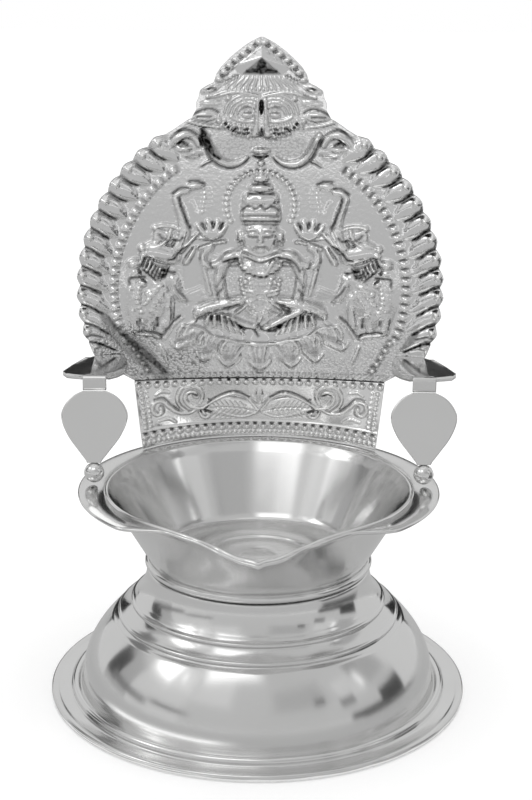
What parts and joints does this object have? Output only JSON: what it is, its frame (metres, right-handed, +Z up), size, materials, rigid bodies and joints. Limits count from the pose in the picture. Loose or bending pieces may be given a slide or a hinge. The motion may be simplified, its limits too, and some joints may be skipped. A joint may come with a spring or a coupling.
{
  "type": "gajalakshmi oil lamp",
  "caption": "Silver oil lamp: spun foot, conical oil cup with a wick spout, and an embossed arched back plate with a seated goddess between two elephants.",
  "frame": {"origin": "centre of the foot's underside, on the surface that the lamp stands on", "axes": "+Z up, -Y towards the spout, +X to the right seen from the spout"},
  "size_m": [0.08, 0.08, 0.1217],
  "materials": {
    "polished_silver": "spun silver-white metal, polished to a mirror",
    "stamped_silver": "embossed silver-white sheet, bright on the raised parts and grainy in the ground"
  },
  "bodies": {
    "root": {"foot": "polished_silver", "neck_collar": "polished_silver", "oil_cup": "polished_silver", "cup_flange": "polished_silver", "base_panel": "stamped_silver", "back_plate": "stamped_silver", "ball_left": "polished_silver", "ball_right": "polished_silver", "vase_plate_left": "polished_silver", "vase_plate_right": "polished_silver", "arm_left": "polished_silver", "arm_right": "polished_silver"}
  },
  "joints": []
}
